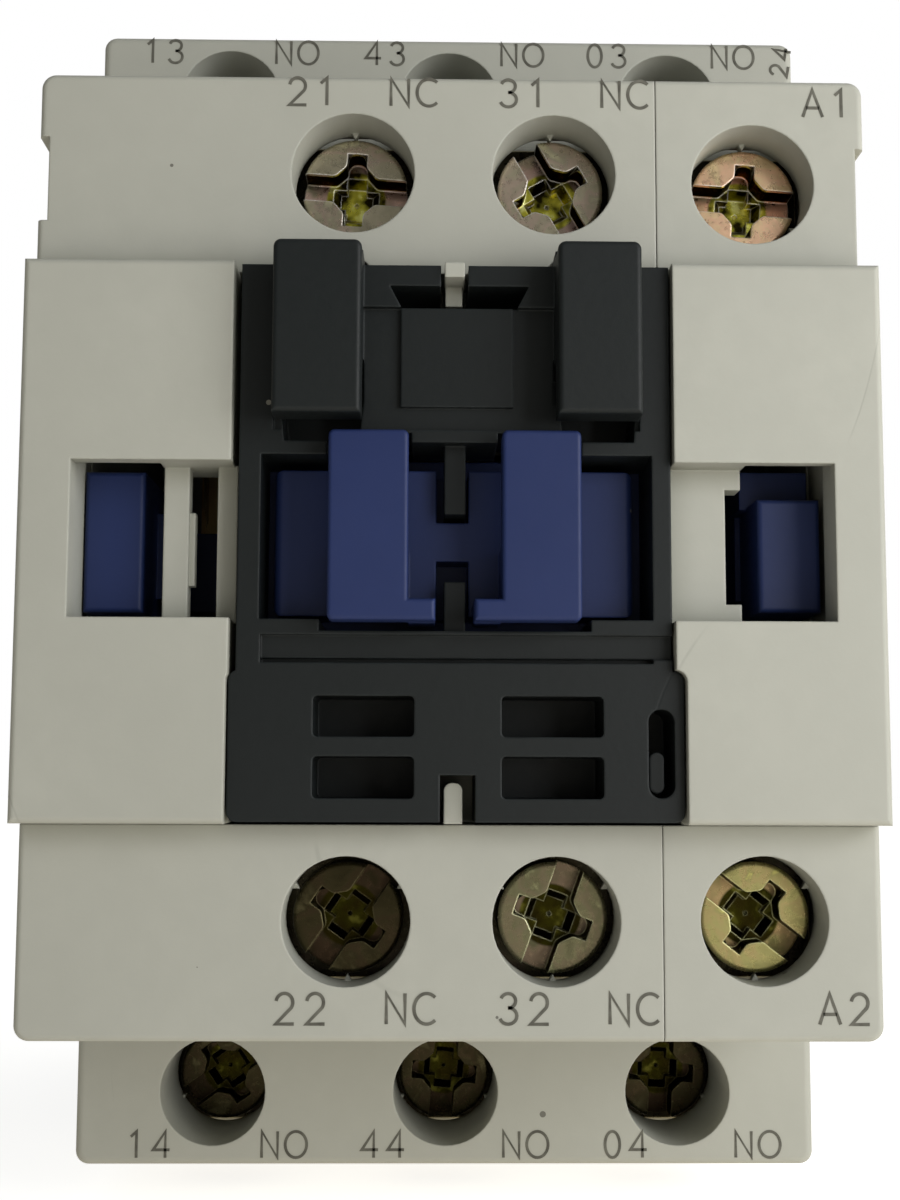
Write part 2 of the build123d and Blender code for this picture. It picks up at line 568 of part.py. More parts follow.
def bridge(x, plate_y, tip_y, reach):
    """A contact bridge with a silver tip at each end."""
    width = (x - BRIDGE_W / 2, x + BRIDGE_W / 2)
    plate = round_block(width, plate_y, (-reach - 2.2, reach + 2.2), 0.8)
    for side in (-1, 1):
        plate += rod(x, side * reach, tip_y, TIP_R)
    return plate


def make_bridge(x):
    """A bridge of a make contact, open at rest."""
    back = MAKE_BRIDGE_BACK
    return bridge(x, (back - BRIDGE_T, back), (back, back + TIP_T), MAKE_TIP_Z)


def break_bridge(x):
    """A bridge of a break contact, closed at rest."""
    face = BREAK_BRIDGE_FACE
    return bridge(x, (face, face + BRIDGE_T), (face - TIP_T, face), BREAK_TIP_Z)


def make_spring(x):
    return spring(x, 0, (MAKE_WINDOW[0] + 0.03, MAKE_BRIDGE_BACK - BRIDGE_T - 0.03), 1.5, 0.45, 4)


def break_spring(x):
    return spring(x, 0, (BREAK_BRIDGE_FACE + BRIDGE_T + 0.03, BREAK_WINDOW[1] - 0.03), 1.5, 0.45, 3)


# ---------------------------------------------------------------- carrier and rail foot

def carrier():
    """The blue carrier: armature saddle, slab with the contact windows, and the front."""
    saddle_y = (-47.5, -44.2)
    body = block((-14, 14), saddle_y, (-8, 8))
    body += block((-5, 5), saddle_y, (-14.6, 14.6))
    body += both_ways(block((-6, 6), (-47.4, -38.8), (6.2, 8.0)))
    body -= Pos(0, -41.2, 0) * Cylinder(1.53, 40)
    body += block((-18.2, 18.2), (-74.0, -47.4), (-SLAB_Z, SLAB_Z))
    for x in MAKE_X:
        body -= block((x - WINDOW_HALF, x + WINDOW_HALF), MAKE_WINDOW, (-5, 5))
    for x in BREAK_X:
        body -= block((x - WINDOW_HALF, x + WINDOW_HALF), BREAK_WINDOW, (-5, 5))
    for x0, x1 in ((-15.6, -9.9), (9.9, 16.1)):
        body -= block((x0, x1), (-75, -66.5), (-5, 5))
    # Indicator blocks of the two side windows
    left = block((-19.7, -16.5), (-78.4, -71.0), (-3.6, 4.0))
    right = block((16.4, 19.75), (-79.0, -71.0), (-3.5, 2.6))
    body += soften(left, 0.25, lambda c: c.Y < -78.3)
    body += soften(right, 0.25, lambda c: c.Y < -78.9)
    body += block((16.0, 19.75), (-76.0, -71.0), (2.5, 4.6))
    # H-shaped plate in the insert's window, on a skirt that closes the window from behind
    body += block((-10.9, 11.1), (-75.9, -73.9), (-4.95, 5.1))
    plate = block((-9.45, 9.65), (-79.3, -73.9), (-3.85, 3.95))
    plate = soften(plate, 0.45, lambda c: abs(c.X) > 9 and (c.Y < -79.2 or abs(c.Z) > 3.8) and c.Y < -76)
    plate -= block((-0.85, 0.88), (-80, -77.0), (1.15, 5))
    plate -= block((-0.85, 0.88), (-80, -77.0), (-5, -0.9))
    body += plate
    # L-shaped hooks that drive an add-on block
    drive_face = HOOK_FACE + 0.7
    for outer, inner, toe in ((-6.4, -2.3, -0.9), (6.55, 2.5, 1.1)):
        outline = Polygon((outer, 5.4), (inner, 5.4), (inner, -3.3), (toe, -3.3), (toe, -4.4), (outer, -4.4),
                          align=None)
        hook = forward(outline, (drive_face, -81.6))
        hook = soften(hook, 0.3, lambda c: abs(c.X - toe) > 0.01 and abs(c.Z - 0.5) > 4.85 and c.Y > -82.6)
        body += soften(hook, 0.2, lambda c: c.Y < drive_face + 0.01)
        hook_x = (min(outer, inner), max(outer, inner))
        body += block(hook_x, (-82.0, -79.2), (-4.2, -0.5))
        toe_x = (min(inner, toe), max(inner, toe))
        body += block(toe_x, (-81.7, -79.2), (-4.4, -3.3))
    return body


def din_foot():
    """The sprung foot that grips the lower edge of the rail."""
    body = block((-9.0, 9.0), (-6.25, -4.15), (-37.6, -RAIL_HALF - 0.1))
    body += block((-7.0, 7.0), (-4.3, -1.0), (-37.6, -RAIL_HALF - 0.1))
    nose = block((-8.6, 8.6), (-6.25, -4.0), (-17.8, -15.7))
    nose = chamfer([e for e in nose.edges() if e.center().Y > -4.1 and e.center().Z > -15.8], 1.0)
    body += nose
    body -= block((-1.9, 1.9), (-7, -3.9), (-31.5, -21.5))
    body -= block((-3.2, 3.2), (-3.0, 0), (-36.6, -34.6))
    return body


def din_foot_spring():
    coil = spring(0, 0, (-30.15, -21.53), 1.0, 0.35, 7)
    return Pos(0, -5.15, 0) * Rot(90, 0, 0) * coil


# ---------------------------------------------------------------- all nodes

NODES = {
    "base_housing": base_housing,
    "contact_housing": contact_housing,
    "terminal_housing": terminal_housing,
    "coil_terminal_cap_top": lambda: coil_terminal_cap("a1"),
    "coil_terminal_cap_bottom": lambda: coil_terminal_cap("a2"),
    "front_cover": front_cover,
    "front_insert": front_insert,
    "fixed_core": fixed_core,
    "shading_rings": shading_rings,
    "core_pad": core_pad,
    "coil_bobbin": coil_bobbin,
    "coil_winding": coil_winding,
    "coil_terminal_a1": lambda: coil_terminal("a1"),
    "coil_terminal_a2": lambda: coil_terminal("a2"),
    "make_strips_top": lambda: make_strips(1),
    "make_strips_bottom": lambda: make_strips(-1),
    "break_strips_top": lambda: break_strips(1),
    "break_strips_bottom": lambda: break_strips(-1),
    "make_fixed_tips": make_fixed_tips,
    "break_fixed_tips": break_fixed_tips,
    "return_springs": return_springs,
    "carrier": carrier,
    "armature": armature,
    "armature_pin": armature_pin,
    "din_foot": din_foot,
    "din_foot_spring": din_foot_spring,
}
for pole, place in zip(("left", "centre", "right"), MAKE_X):
    NODES["make_bridge_" + pole] = lambda place=place: make_bridge(place)
for pole, place in zip(("left", "right"), BREAK_X):
    NODES["break_bridge_" + pole] = lambda place=place: break_bridge(place)
NODES["make_springs"] = lambda: Compound([make_spring(place) for place in MAKE_X])
NODES["break_springs"] = lambda: Compound([break_spring(place) for place in BREAK_X])
for terminal in TERMINALS:
    NODES["screw_" + terminal] = lambda terminal=terminal: terminal_screw(terminal)
    NODES["washer_" + terminal] = lambda terminal=terminal: clamp_washer(terminal)

os.makedirs("parts", exist_ok=True)
for node_name, make in NODES.items():
    export_step(make(), "parts/" + node_name + ".step")
print(len(NODES), "nodes")
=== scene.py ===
import json
import math

import bmesh
import bpy
from mathutils import Matrix, Vector


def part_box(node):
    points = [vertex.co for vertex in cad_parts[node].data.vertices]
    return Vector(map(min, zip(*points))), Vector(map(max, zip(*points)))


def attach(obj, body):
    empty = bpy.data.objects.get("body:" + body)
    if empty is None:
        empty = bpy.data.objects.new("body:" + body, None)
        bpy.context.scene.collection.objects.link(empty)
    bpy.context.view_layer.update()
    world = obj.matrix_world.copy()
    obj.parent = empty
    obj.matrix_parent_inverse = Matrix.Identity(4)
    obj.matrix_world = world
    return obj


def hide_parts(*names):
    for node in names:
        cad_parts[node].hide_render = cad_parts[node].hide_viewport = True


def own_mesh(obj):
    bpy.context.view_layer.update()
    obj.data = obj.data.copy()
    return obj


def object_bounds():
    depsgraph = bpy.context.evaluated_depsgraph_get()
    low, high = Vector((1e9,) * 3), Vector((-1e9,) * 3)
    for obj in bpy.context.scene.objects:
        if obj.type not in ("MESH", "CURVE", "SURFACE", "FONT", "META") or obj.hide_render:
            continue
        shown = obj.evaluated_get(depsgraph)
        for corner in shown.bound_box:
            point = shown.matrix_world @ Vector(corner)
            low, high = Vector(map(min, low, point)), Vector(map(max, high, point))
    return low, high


MM = 0.001

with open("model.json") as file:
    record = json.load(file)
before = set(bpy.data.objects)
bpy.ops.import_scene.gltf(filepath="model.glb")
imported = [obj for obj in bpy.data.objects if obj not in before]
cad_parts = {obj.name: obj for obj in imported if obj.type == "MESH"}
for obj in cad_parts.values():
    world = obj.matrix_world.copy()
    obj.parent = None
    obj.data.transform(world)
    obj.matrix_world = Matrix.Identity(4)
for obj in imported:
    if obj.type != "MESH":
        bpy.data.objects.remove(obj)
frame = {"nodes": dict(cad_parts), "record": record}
cad_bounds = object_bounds()
nodes = frame["nodes"]


def middle_x(node):
    low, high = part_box(node)
    return (low.x + high.x) / 2


def new_piece(name, bm, material):
    """An object of its own from a finished bmesh, with one material."""
    bmesh.ops.recalc_face_normals(bm, faces=bm.faces)
    mesh = bpy.data.meshes.new(name)
    bm.to_mesh(mesh)
    bm.free()
    mesh.materials.append(material)
    piece = bpy.data.objects.new(name, mesh)
    bpy.context.scene.collection.objects.link(piece)
    return piece


# ---------------------------------------------------------------- node helpers

class Shader:
    """A material under construction: its Principled shader, its coordinates and short node calls."""

    def __init__(self, name, roughness, metallic=0.0, specular=0.5):
        self.material = bpy.data.materials.new(name)
        self.material.use_nodes = True
        self.tree = self.material.node_tree
        self.bsdf = self.tree.nodes["Principled BSDF"]
        self.bsdf.inputs["Roughness"].default_value = roughness
        self.bsdf.inputs["Metallic"].default_value = metallic
        self.bsdf.inputs["Specular IOR Level"].default_value = specular
        self.place = self.tree.nodes.new("ShaderNodeTexCoord").outputs["Object"]

    def node(self, kind, **values):
        made = self.tree.nodes.new(kind)
        for key, value in values.items():
            setattr(made, key, value)
        return made

    def feed(self, socket, value):
        """Links an output, or sets a number or colour, on one input."""
        if hasattr(value, "is_output"):
            self.tree.links.new(value, socket)
        elif isinstance(value, tuple) and len(value) == 3 and socket.type == "RGBA":
            socket.default_value = (*value, 1.0)
        else:
            socket.default_value = value

    def stretched(self, stretch):
        made = self.node("ShaderNodeMapping")
        self.feed(made.inputs["Vector"], self.place)
        made.inputs["Scale"].default_value = stretch
        return made.outputs["Vector"]

    def noise(self, scale, detail=2.0, rough=0.5, stretch=None, distortion=0.0):
        made = self.node("ShaderNodeTexNoise")
        self.feed(made.inputs["Vector"], self.stretched(stretch) if stretch else self.place)
        made.inputs["Scale"].default_value = scale
        made.inputs["Detail"].default_value = detail
        made.inputs["Roughness"].default_value = rough
        made.inputs["Distortion"].default_value = distortion
        return made.outputs["Fac"]

    def cells(self, scale):
        """Distance to the nearest cell point, and a random number for each cell."""
        made = self.node("ShaderNodeTexVoronoi")
        self.feed(made.inputs["Vector"], self.place)
        made.inputs["Scale"].default_value = scale
        split = self.node("ShaderNodeSeparateColor")
        self.feed(split.inputs["Color"], made.outputs["Color"])
        return made.outputs["Distance"], split.outputs["Red"]

    def bands(self, direction, scale, distortion=0.0):
        """Soft stripes along one axis, 314 mm / scale apart."""
        made = self.node("ShaderNodeTexWave", bands_direction=direction)
        self.feed(made.inputs["Vector"], self.place)
        made.inputs["Scale"].default_value = scale
        made.inputs["Distortion"].default_value = distortion
        return made.outputs["Fac"]

    def separate(self):
        """The X, Y and Z of a point."""
        made = self.node("ShaderNodeSeparateXYZ")
        self.feed(made.inputs["Vector"], self.place)
        return made.outputs["X"], made.outputs["Y"], made.outputs["Z"]

    def math(self, operation, first, second=0.0):
        made = self.node("ShaderNodeMath", operation=operation)
        self.feed(made.inputs[0], first)
        self.feed(made.inputs[1], second)
        return made.outputs[0]

    def ramp(self, source, *stops):
        made = self.node("ShaderNodeValToRGB")
        while len(made.color_ramp.elements) < len(stops):
            made.color_ramp.elements.new(0.5)
        for element, (place, color) in zip(made.color_ramp.elements, stops):
            element.position = place
            element.color = (*color, 1.0)
        self.feed(made.inputs["Fac"], source)
        return made.outputs["Color"]

    def range(self, source, start, end, low=0.0, high=1.0):
        made = self.node("ShaderNodeMapRange")
        made.inputs["From Min"].default_value = start
        made.inputs["From Max"].default_value = end
        made.inputs["To Min"].default_value = low
        made.inputs["To Max"].default_value = high
        self.feed(made.inputs["Value"], source)
        return made.outputs["Result"]

    def mix(self, factor, first, second):
        made = self.node("ShaderNodeMix", data_type="RGBA")
        for key, value in (("Factor", factor), ("A", first), ("B", second)):
            socket = [s for s in made.inputs if s.name == key and s.enabled][0]
            self.feed(socket, value)
        return [s for s in made.outputs if s.enabled][0]

    def shelter(self, distance):
        """How closed in a point is: 1 in a deep corner, 0 in the open."""
        made = self.node("ShaderNodeAmbientOcclusion", samples=6, only_local=False)
        made.inputs["Distance"].default_value = distance
        return self.range(made.outputs["AO"], 1.0, 0.35)

    def rounded(self, radius):
        """The normal of a rounded edge, and how near a point is to such an edge."""
        bevel = self.node("ShaderNodeBevel", samples=6)
        bevel.inputs["Radius"].default_value = radius
        flat = self.node("ShaderNodeNewGeometry").outputs["Normal"]
        dot = self.node("ShaderNodeVectorMath", operation="DOT_PRODUCT")
        self.feed(dot.inputs[0], bevel.outputs["Normal"])
        self.feed(dot.inputs[1], flat)
        return bevel.outputs["Normal"], self.range(dot.outputs["Value"], 0.998, 0.90)

    def bump(self, height, strength, distance, normal=None):
        made = self.node("ShaderNodeBump")
        made.inputs["Strength"].default_value = strength
        made.inputs["Distance"].default_value = distance
        self.feed(made.inputs["Height"], height)
        if normal is not None:
            self.feed(made.inputs["Normal"], normal)
        return made.outputs["Normal"]

    def finish(self, color, roughness, normal):
        self.feed(self.bsdf.inputs["Base Color"], color)
        self.feed(self.bsdf.inputs["Roughness"], roughness)
        self.feed(self.bsdf.inputs["Normal"], normal)
        return self.material


def scaled(color, factor):
    return tuple(min(1.0, channel * factor) for channel in color)


# ---------------------------------------------------------------- materials

def moulded(name, color, roughness, grain=0.12, edge_wear_and_highlight=1.25, corner_shade_and_grime=0.6, specks=0.0, dust=0.0, specular=0.4):
    """Moulded plastic with a spark-eroded grain, rubbed edges lightened partly as wear and partly as a
    painted highlight, painted shade with some grime in its corners, and fine scratches.
    """
    s = Shader(name, roughness, specular=specular)
    edge_radius, corner_reach = 0.16 * MM, 1.6 * MM
    broad = s.noise(70, 4.0, 0.6)
    fine = s.noise(2300, 3.0, 0.6)
    normal, near_edge = s.rounded(edge_radius)
    tone = s.ramp(broad, (0.3, scaled(color, 0.955)), (0.7, scaled(color, 1.045)))
    mottled = s.mix(s.range(s.noise(700, 2.0), 0.35, 0.65, 0.0, 0.5), tone, scaled(color, 0.96))
    # Brownish darkening in the corners: painted shade, with some grime
    corner_shade_and_dirt = s.math("MULTIPLY", s.shelter(corner_reach), s.range(broad, 0.3, 0.6, 0.5, 1.0))
    red, green, blue = color
    shaded_and_dirty = s.mix(s.math("MULTIPLY", corner_shade_and_dirt, corner_shade_and_grime), mottled, scaled((red, green, blue * 0.85), 0.55))
    # Lighter rubbed edges: partly wear, partly a painted highlight
    edge_rub_and_highlight = s.math("MULTIPLY", near_edge, s.range(s.noise(420, 3.0), 0.35, 0.62))
    worn_and_highlit = s.mix(s.math("MULTIPLY", edge_rub_and_highlight, 0.55), shaded_and_dirty, scaled(color, edge_wear_and_highlight))
    # Hairline scratches, each only where a second pattern lets it show: pale, but dark on speckled plastic
    line = s.math("ABSOLUTE", s.math("SUBTRACT", s.noise(38, 1.0, 0.4, (1.0, 1.0, 0.35), 0.6), 0.5))
    hair = s.math("MULTIPLY", s.range(line, 0.0022, 0.0006), s.range(s.noise(140, 1.0), 0.60, 0.66))
    final = s.mix(s.math("MULTIPLY", hair, 0.35), worn_and_highlit, scaled(color, 1.3 if specks == 0 else 0.7))
    if specks:
        # Small dark specks of dirt
        distance, chance = s.cells(330)
        size = s.range(chance, 0.62, 1.0, 0.0, specks)
        spot = s.math("MULTIPLY", s.math("LESS_THAN", distance, size), 0.75)
        final = s.mix(spot, final, (0.06, 0.055, 0.045))
    if dust:
        # Pale grains of dust
        distance, chance = s.cells(520)
        size = s.range(chance, 0.86, 1.0, 0.0, dust)
        grain_spot = s.math("MULTIPLY", s.math("LESS_THAN", distance, size), 0.55)
        final = s.mix(grain_spot, final, (0.34, 0.33, 0.28))
    surface = s.math("SUBTRACT", fine, s.math("MULTIPLY", hair, 0.6))
    rough = s.range(s.mix(0.5, fine, broad), 0.3, 0.7, roughness - 0.08, roughness + 0.08)
    return s.finish(final, rough, s.bump(surface, grain, 0.05 * MM, normal))


def metal(name, light, dark, roughness, stretch=(1, 1, 1)):
    """Drawn or rolled metal with tone changes and fine lines along one way."""
    s = Shader(name, roughness, metallic=1.0)
    normal, near_edge = s.rounded(0.08 * MM)
    broad = s.noise(260, 3.0)
    lines = s.noise(1400, 3.0, 0.6, stretch)
    tone = s.ramp(broad, (0.3, dark), (0.7, light))
    streaked = s.mix(s.range(lines, 0.4, 0.6, 0.0, 0.35), tone, scaled(light, 0.7))
    # Lighter along the edges: a painted highlight
    final = s.mix(s.math("MULTIPLY", near_edge, 0.4), streaked, scaled(light, 1.15))
    rough = s.range(lines, 0.3, 0.7, roughness - 0.08, roughness + 0.1)
    return s.finish(final, rough, s.bump(lines, 0.1, 0.04 * MM, normal))


# A screw's recess, measured from the face and the axis of its head
WALL_TOP = (0.22 * MM, 0.32 * MM)       # depths over which the wall's painted shade begins
RECESS_FLOOR = (1.66 * MM, 1.76 * MM)   # depths over which the floor begins
CENTRE_RIM = (1.62 * MM, 1.75 * MM)     # radii over which the centre's painted shade turns into the floor of the slots


def recess_color(s, plated, tone, recess, head_middle):
    """The recess of a screw: walls darkened with painted shade, a pinkish slot floor, and a centre of painted
    shade with pale facets as painted highlights.
    """
    x, y, z = s.separate()
    depth = s.math("SUBTRACT", y, head_middle[1])
    aside = s.math("POWER", s.math("SUBTRACT", x, head_middle[0]), 2.0)
    above = s.math("POWER", s.math("SUBTRACT", z, head_middle[2]), 2.0)
    outer = s.range(s.math("SQRT", s.math("ADD", aside, above)), *CENTRE_RIM)
    patch = s.noise(900, 2.0)
    wall_shade = s.ramp(patch, (0.35, (0.045, 0.034, 0.008)), (0.65, (0.10, 0.078, 0.018)))
    floor = s.ramp(patch, (0.32, scaled(tone, 0.7)), (0.55, (tone[0] * 1.15, tone[1] * 0.9, tone[2] * 1.1)))
    # The centre: painted shade, with pale facets as painted highlights
    centre = s.ramp(patch, (0.42, (0.020, 0.016, 0.003)), (0.60, scaled((0.18, 0.17, 0.02), recess)),
                    (0.68, scaled((0.60, 0.58, 0.10), recess)))
    below_edge = s.range(depth, *WALL_TOP)
    at_floor = s.range(depth, *RECESS_FLOOR)
    # The walls are seen at a flat angle, where bare metal would turn pale; a dark tint on their reflection
    # paints shade on them
    wall_reflection_shade = s.mix(below_edge, (1.0, 1.0, 1.0), (0.16, 0.13, 0.05))
    s.feed(s.bsdf.inputs["Specular Tint"], s.mix(at_floor, wall_reflection_shade, (0.9, 0.8, 0.75)))
    wall_shaded_recess = s.mix(at_floor, s.mix(below_edge, plated, wall_shade), centre)
    return s.mix(s.math("MULTIPLY", at_floor, outer), wall_shaded_recess, floor)


def zinc(name, tone, pale, recess=0.0, head_middle=None):
    """Zinc plating with its coloured passivate, between a tone and a pale one, with a painted highlight along
    its edges. A screw gives how bright the painted highlights in its recess's centre are and the middle of
    its head's face; other zinc parts get painted shade where they are closed in."""
    s = Shader(name, 0.35, metallic=1.0)
    normal, near_edge = s.rounded(0.12 * MM)
    film = s.noise(430, 3.0, 0.55, distortion=0.8)
    fine = s.noise(2600, 3.0, 0.7)
    pinkish = (tone[0] * 1.08, tone[1] * 0.95, tone[2] * 1.06)
    plated = s.ramp(film, (0.30, scaled(tone, 0.75)), (0.44, tone), (0.52, pinkish),
                    (0.60, scaled(tone, 0.9)), (0.70, pale))
    if head_middle is None:
        # Painted shade: darker where the part is closed in
        with_painted_shade = s.mix(s.range(s.shelter(1.5 * MM), 0.2, 0.7), plated, (0.02, 0.018, 0.01))
    else:
        with_painted_shade = recess_color(s, plated, tone, recess, head_middle)
    # A painted highlight along the edges
    painted_edge_highlight = s.math("MULTIPLY", near_edge, s.range(s.noise(1100, 2.0), 0.35, 0.6, 0.3, 0.9))
    final = s.mix(painted_edge_highlight, with_painted_shade, scaled(pale, 3.0))
    rough = s.math("ADD", s.range(fine, 0.3, 0.7, 0.22, 0.38), s.math("MULTIPLY", near_edge, 0.25))
    return s.finish(final, rough, s.bump(fine, 0.16, 0.03 * MM, normal))


def laminated(name):
    """Stacked electrical steel sheets, 1 mm apart, seen on their edges."""
    s = Shader(name, 0.45, metallic=1.0)
    sheets = s.bands("Z", 314, 0.6)
    rust = s.noise(300, 4.0)
    steel = s.ramp(sheets, (0.0, (0.10, 0.09, 0.085)), (0.35, (0.30, 0.29, 0.28)))
    final = s.mix(s.range(rust, 0.58, 0.75, 0.0, 0.5), steel, (0.16, 0.08, 0.04))
    return s.finish(final, s.range(rust, 0.3, 0.7, 0.35, 0.6), s.bump(sheets, 0.5, 0.06 * MM))


def wound(name):
    """Enamelled wire, wound in close turns 0.35 mm apart."""
    s = Shader(name, 0.3, metallic=1.0)
    turns = s.bands("Y", 900)
    lacquer = s.ramp(turns, (0.0, (0.12, 0.03, 0.01)), (0.6, (0.45, 0.15, 0.06)))
    final = s.mix(s.range(s.noise(200, 2.0), 0.4, 0.7, 0.0, 0.3), lacquer, (0.25, 0.07, 0.03))
    return s.finish(final, s.range(turns, 0.0, 1.0, 0.45, 0.28), s.bump(turns, 0.6, 0.06 * MM))


def printed(name):
    """Dark grey lettering, a little worn."""
    s = Shader(name, 0.6, specular=0.2)
    patchy = s.noise(1500, 3.0)
    final = s.ramp(patchy, (0.35, (0.085, 0.083, 0.070)), (0.7, (0.150, 0.148, 0.126)))
    return s.finish(final, s.range(patchy, 0.3, 0.7, 0.5, 0.7), s.bump(patchy, 0.1, 0.02 * MM))


MATERIALS = {
    "base_plastic": moulded("base_plastic", (0.045, 0.047, 0.048), 0.55, edge_wear_and_highlight=1.6, corner_shade_and_grime=0.3),
    "housing_plastic": moulded("housing_plastic", (0.404, 0.411, 0.368), 0.55, edge_wear_and_highlight=1.12, specks=0.07),
    "insert_plastic": moulded("insert_plastic", (0.0085, 0.0112, 0.0120), 0.5, edge_wear_and_highlight=3.0, corner_shade_and_grime=0.3, grain=0.2,
                              dust=0.10, specular=0.25),
    "carrier_plastic": moulded("carrier_plastic", (0.0125, 0.0245, 0.097), 0.48, edge_wear_and_highlight=1.9, corner_shade_and_grime=0.4,
                               dust=0.10, specular=0.3),
    "core_steel": laminated("core_steel"),
    "copper": metal("copper", (0.76, 0.36, 0.20), (0.50, 0.22, 0.12), 0.32, (1, 1, 0.1)),
    "rubber": moulded("rubber", (0.018, 0.018, 0.018), 0.85, edge_wear_and_highlight=1.5, specular=0.2),
    "bobbin_plastic": moulded("bobbin_plastic", (0.60, 0.55, 0.44), 0.5, edge_wear_and_highlight=1.1),
    "winding": wound("winding"),
    "terminal_brass": metal("terminal_brass", (0.62, 0.47, 0.22), (0.42, 0.31, 0.14), 0.35, (1, 1, 0.08)),
    "silver": metal("silver", (0.72, 0.71, 0.67), (0.52, 0.50, 0.46), 0.38),
    "spring_steel": metal("spring_steel", (0.45, 0.45, 0.46), (0.28, 0.28, 0.29), 0.3),
    "zinc_steel": zinc("zinc_steel", (0.16, 0.145, 0.10), (0.22, 0.20, 0.13)),
}
for part in frame["record"]["subparts"]:
    mesh = nodes[part["node"]].data
    mesh.materials.clear()
    mesh.materials.append(MATERIALS[part["material_slot"]])

# Tints of the screws' passivate: tone, pale tone and how bright the painted highlights in the recess's centre
# are
GREY = ((0.52, 0.47, 0.34), (0.68, 0.64, 0.43), 3.5)
ROSE = ((0.78, 0.57, 0.34), (0.92, 0.74, 0.42), 3.5)
OLIVE = ((0.042, 0.036, 0.018), (0.085, 0.075, 0.04), 0.15)
MOSS = ((0.17, 0.165, 0.095), (0.38, 0.39, 0.22), 0.2)
STRAW = ((0.31, 0.29, 0.12), (0.70, 0.68, 0.19), 0.15)
PLATING = {"13": GREY, "43": OLIVE, "03": GREY, "14": OLIVE, "44": OLIVE, "04": OLIVE,
           "21": GREY, "31": GREY, "22": OLIVE, "32": MOSS, "a1": ROSE, "a2": STRAW}
for terminal, (tone, pale, recess) in PLATING.items():
    node = "screw_" + terminal
    low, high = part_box(node)
    head_middle = ((low.x + high.x) / 2, low.y, (low.z + high.z) / 2)
    nodes[node].data.materials[0] = zinc("zinc_" + terminal, tone, pale, recess, head_middle)


# ---------------------------------------------------------------- terminal markings

CAPITAL = 1.55 * MM         # height of a character
SMALL_CAPITAL = 1.15 * MM
STROKE = 0.17 * MM          # width of a pen line
PRINT_RISE = 0.02 * MM      # how far the print stands on the plastic
PRINT_SINK = 0.01 * MM      # and how far it reaches into it


def arc(centre, radii, start, end, steps=14):
    """Points along part of an ellipse, with angles in degrees."""
    points = []
    for i in range(steps + 1):
        angle = math.radians(start + (end - start) * i / steps)
        points.append((centre[0] + radii[0] * math.cos(angle), centre[1] + radii[1] * math.sin(angle)))
    return points


# Pen strokes of each character, one unit high from its baseline
GLYPHS = {
    "0": [arc((0.31, 0.5), (0.29, 0.5), 90, 450, 28)],
    "1": [[(0.10, 0.80), (0.32, 1.0), (0.32, 0.0)]],
    "2": [arc((0.30, 0.70), (0.28, 0.30), 170, -35) + [(0.02, 0.0), (0.62, 0.0)]],
    "3": [arc((0.29, 0.76), (0.25, 0.24), 160, -90), arc((0.29, 0.27), (0.29, 0.27), 90, -160)],
    "4": [[(0.47, 0.0), (0.47, 1.0), (0.0, 0.30), (0.64, 0.30)]],
    "A": [[(0.0, 0.0), (0.35, 1.0), (0.70, 0.0)], [(0.12, 0.33), (0.58, 0.33)]],
    "C": [arc((0.42, 0.5), (0.42, 0.5), 48, 312, 22)],
    "N": [[(0.0, 0.0), (0.0, 1.0), (0.62, 0.0), (0.62, 1.0)]],
    "O": [arc((0.42, 0.5), (0.42, 0.5), 90, 450, 30)],
}
# How far the pen moves on after each character
ADVANCE = {"0": 1.02, "1": 0.98, "2": 1.02, "3": 1.02, "4": 1.02, "A": 1.05, "C": 0.95, "N": 0.92, "O": 0.95}


def ribbon(bm, points, width, front, back):
    """A flat pen line with square ends, as a thin closed strip between two depths in Y."""
    closed = (Vector(points[0]) - Vector(points[-1])).length < 1e-9
    rims = []
    last = len(points) - 1
    for i, point in enumerate(points):
        here = Vector(point)
        before = Vector(points[i - 1]) if i > 0 else (Vector(points[-2]) if closed else None)
        after = Vector(points[i + 1]) if i < last else (Vector(points[1]) if closed else None)
        into = (here - before).normalized() if before is not None else (after - here).normalized()
        out = (after - here).normalized() if after is not None else into
        across = Vector((-into.y - out.y, into.x + out.x))
        turn = max(0.45, math.sqrt(max(0.0, (1 + into.dot(out)) / 2)))
        across = across.normalized() * (width / 2 / turn)
        rims.append((here + across, here - across))
    rows = []
    for left, right in rims:
        rows.append([bm.verts.new((p.x, depth, p.y)) for p in (left, right) for depth in (front, back)])
    for a, b in zip(rows, rows[1:]):
        bm.faces.new((a[0], b[0], b[2], a[2]))
        bm.faces.new((a[1], a[3], b[3], b[1]))
        bm.faces.new((a[0], a[1], b[1], b[0]))
        bm.faces.new((a[2], b[2], b[3], a[3]))
    if not closed:
        for row in (rows[0], rows[-1]):
            bm.faces.new((row[0], row[2], row[3], row[1]))


def marking(name, face, baseline, turn, height, labels):
    """One piece with a row of labels, each a text and the x of its middle."""
    bm = bmesh.new()
    rotate = Matrix.Rotation(turn, 2)
    for text, x in labels:
        wide = sum(ADVANCE[c] for c in text[:-1]) + max(p[0] for s in GLYPHS[text[-1]] for p in s)
        pen = 0.0
        for character in text:
            for stroke in GLYPHS[character]:
                points = []
                for px, pz in stroke:
                    local = rotate @ Vector(((pen + px - wide / 2) * height, pz * height))
                    points.append((x + local.x, baseline + local.y))
                ribbon(bm, points, STROKE, face - PRINT_RISE, face + PRINT_SINK)
            pen += ADVANCE[character]
    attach(new_piece(name, bm, PRINT), "housing")


PRINT = printed("print")
back_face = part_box("contact_housing")[0].y
middle_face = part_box("terminal_housing")[0].y
columns = {terminal: middle_x("screw_" + terminal) for terminal in ("13", "43", "03", "21", "31", "a1")}

